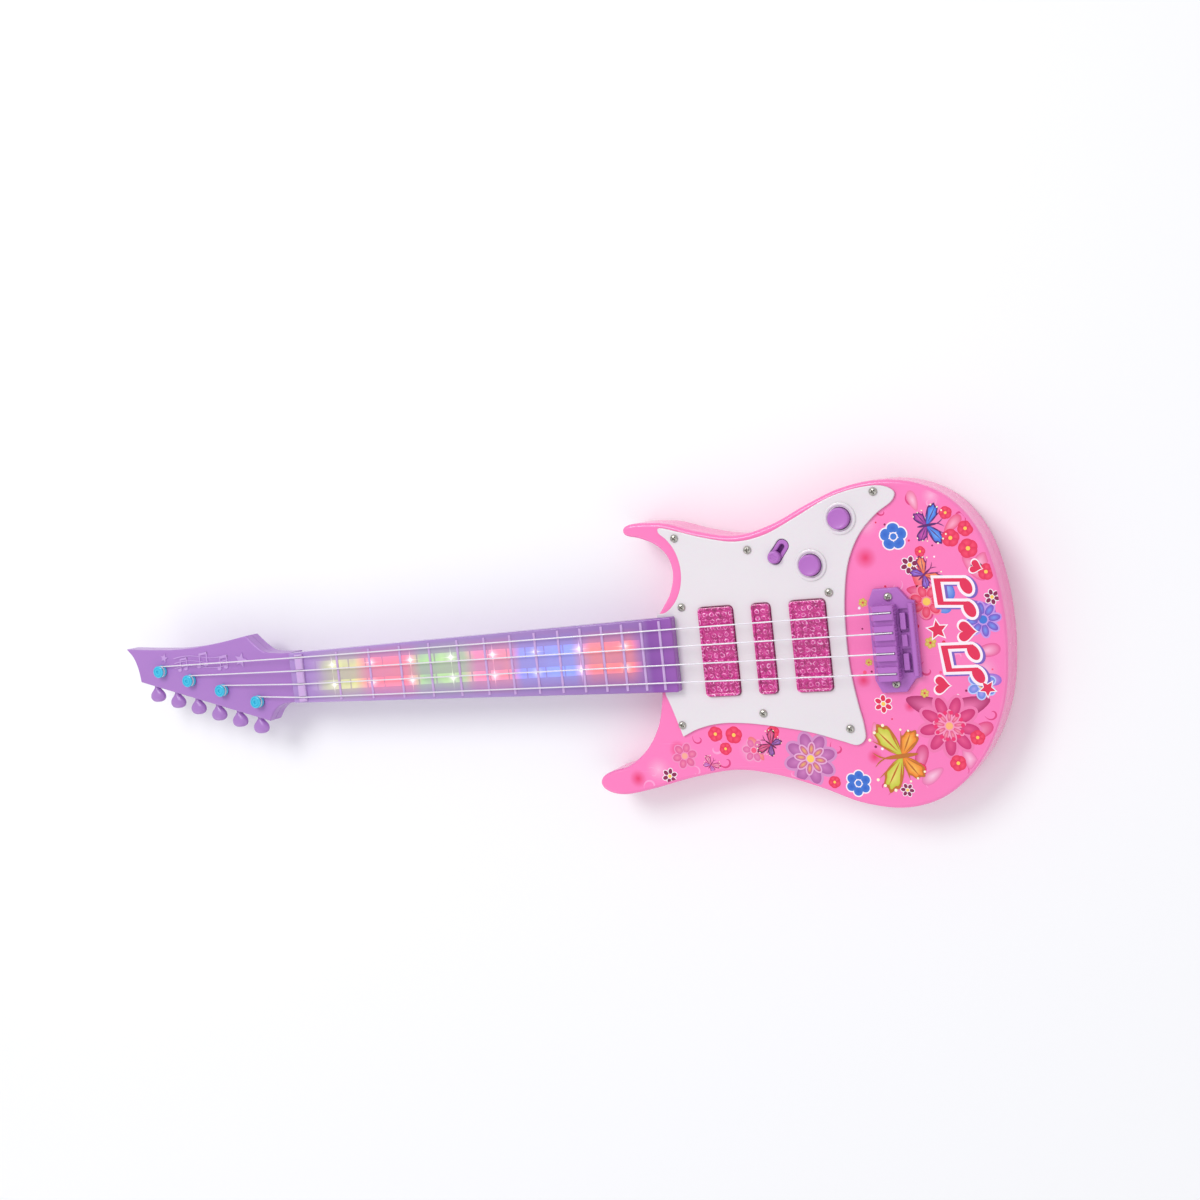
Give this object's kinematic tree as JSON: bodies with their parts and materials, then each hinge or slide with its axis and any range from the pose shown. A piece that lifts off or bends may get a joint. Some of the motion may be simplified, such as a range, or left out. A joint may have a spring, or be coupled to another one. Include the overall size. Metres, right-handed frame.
{
  "type": "toy electric guitar",
  "caption": "Battery toy electric guitar of moulded plastic: pink hollow body, white pickguard with prism lenses, lit see-through fretboard, strings, tuning keys, buttons and a switch.",
  "frame": {"origin": "under the middle of the outer box, on the surface the back lies on", "axes": "+X from the headstock to the strap end, +Y to the side of the push buttons, +Z out of the front"},
  "size_m": [0.6072, 0.1862, 0.0413],
  "materials": {
    "pink_plastic": "glossy, printed with flowers",
    "white_plastic": "glossy",
    "lilac_plastic": "semi-gloss, slightly see-through",
    "magenta_lens": "clear tinted, prism facets",
    "violet_fretboard": "clear tinted, lit from inside",
    "cyan_plastic": "glossy",
    "clear_nylon": "smooth",
    "plated_steel": "zinc plated",
    "grey_rubber": "matt",
    "circuit_board": "green solder mask",
    "clear_rod": "clear",
    "black_plastic": "matt",
    "battery_jacket": "printed film"
  },
  "bodies": {
    "guitar": {"battery_1": "battery_jacket", "battery_2": "battery_jacket", "battery_3": "battery_jacket", "battery_flat_contacts": "plated_steel", "battery_spring_contacts": "plated_steel", "body_back_shell": "pink_plastic", "body_front_shell": "pink_plastic", "body_screw_1": "plated_steel", "body_screw_2": "plated_steel", "body_screw_3": "plated_steel", "body_screw_4": "plated_steel", "body_screw_5": "plated_steel", "body_screw_6": "plated_steel", "bridge": "lilac_plastic", "bridge_screw_1": "plated_steel", "bridge_screw_2": "plated_steel", "demo_button_dome": "grey_rubber", "fretboard_cover": "violet_fretboard", "guard_screw_1": "plated_steel", "guard_screw_2": "plated_steel", "guard_screw_3": "plated_steel", "guard_screw_4": "plated_steel", "guard_screw_5": "plated_steel", "guard_screw_6": "plated_steel", "guard_screw_7": "plated_steel", "guard_screw_8": "plated_steel", "headstock_cover": "lilac_plastic", "light_guide_lower": "clear_rod", "light_guide_upper": "clear_rod", "main_board": "circuit_board", "mode_switch_base": "lilac_plastic", "neck_back": "lilac_plastic", "neck_led_board": "circuit_board", "pickguard": "white_plastic", "pickup_lens_bridge": "magenta_lens", "pickup_lens_middle": "magenta_lens", "pickup_lens_neck": "magenta_lens", "rhythm_button_dome": "grey_rubber", "speaker": "black_plastic", "string_1": "clear_nylon", "string_2": "clear_nylon", "string_3": "clear_nylon", "string_4": "clear_nylon", "string_post_1": "cyan_plastic", "string_post_2": "cyan_plastic", "string_post_3": "cyan_plastic", "string_post_4": "cyan_plastic"},
    "demo_button": {"demo_button": "lilac_plastic"},
    "rhythm_button": {"rhythm_button": "lilac_plastic"},
    "mode_switch_knob": {"mode_switch_knob": "lilac_plastic"},
    "battery_door": {"battery_door": "pink_plastic", "battery_door_screw": "plated_steel"},
    "tuning_key_1": {"tuning_key_1": "lilac_plastic"},
    "tuning_key_2": {"tuning_key_2": "lilac_plastic"},
    "tuning_key_3": {"tuning_key_3": "lilac_plastic"},
    "tuning_key_4": {"tuning_key_4": "lilac_plastic"},
    "tuning_key_5": {"tuning_key_5": "lilac_plastic"},
    "tuning_key_6": {"tuning_key_6": "lilac_plastic"}
  },
  "joints": [
    {"name": "demo_button_press", "type": "slide", "parent": "guitar", "child": "demo_button", "axis": [0, 0, -1], "range_m": [0, 0.0015], "stiffness_N_per_m": 600, "springref_m": -0.0006, "deforming": ["demo_button_dome"]},
    {"name": "rhythm_button_press", "type": "slide", "parent": "guitar", "child": "rhythm_button", "axis": [0, 0, -1], "range_m": [0, 0.0015], "stiffness_N_per_m": 600, "springref_m": -0.0006, "deforming": ["rhythm_button_dome"]},
    {"name": "mode_switch_slide", "type": "slide", "parent": "guitar", "child": "mode_switch_knob", "axis": [0.6157, 0.788, 0], "range_m": [0, 0.0072]},
    {"name": "battery_door_lift", "type": "slide", "parent": "guitar", "child": "battery_door", "axis": [0, 0, -1], "range_m": [0, 0.03]},
    {"name": "tuning_key_1_turn", "type": "hinge", "parent": "guitar", "child": "tuning_key_1", "pos_m": [-0.28556, 0.00356, 0.02785], "axis": [0, 1, 0], "continuous": true},
    {"name": "tuning_key_2_turn", "type": "hinge", "parent": "guitar", "child": "tuning_key_2", "pos_m": [-0.26856, -0.00151, 0.02785], "axis": [0, 1, 0], "continuous": true},
    {"name": "tuning_key_3_turn", "type": "hinge", "parent": "guitar", "child": "tuning_key_3", "pos_m": [-0.25156, -0.00659, 0.02785], "axis": [0, 1, 0], "continuous": true},
    {"name": "tuning_key_4_turn", "type": "hinge", "parent": "guitar", "child": "tuning_key_4", "pos_m": [-0.23456, -0.01167, 0.02785], "axis": [0, 1, 0], "continuous": true},
    {"name": "tuning_key_5_turn", "type": "hinge", "parent": "guitar", "child": "tuning_key_5", "pos_m": [-0.21756, -0.01674, 0.02785], "axis": [0, 1, 0], "continuous": true},
    {"name": "tuning_key_6_turn", "type": "hinge", "parent": "guitar", "child": "tuning_key_6", "pos_m": [-0.20056, -0.02182, 0.02785], "axis": [0, 1, 0], "continuous": true}
  ]
}
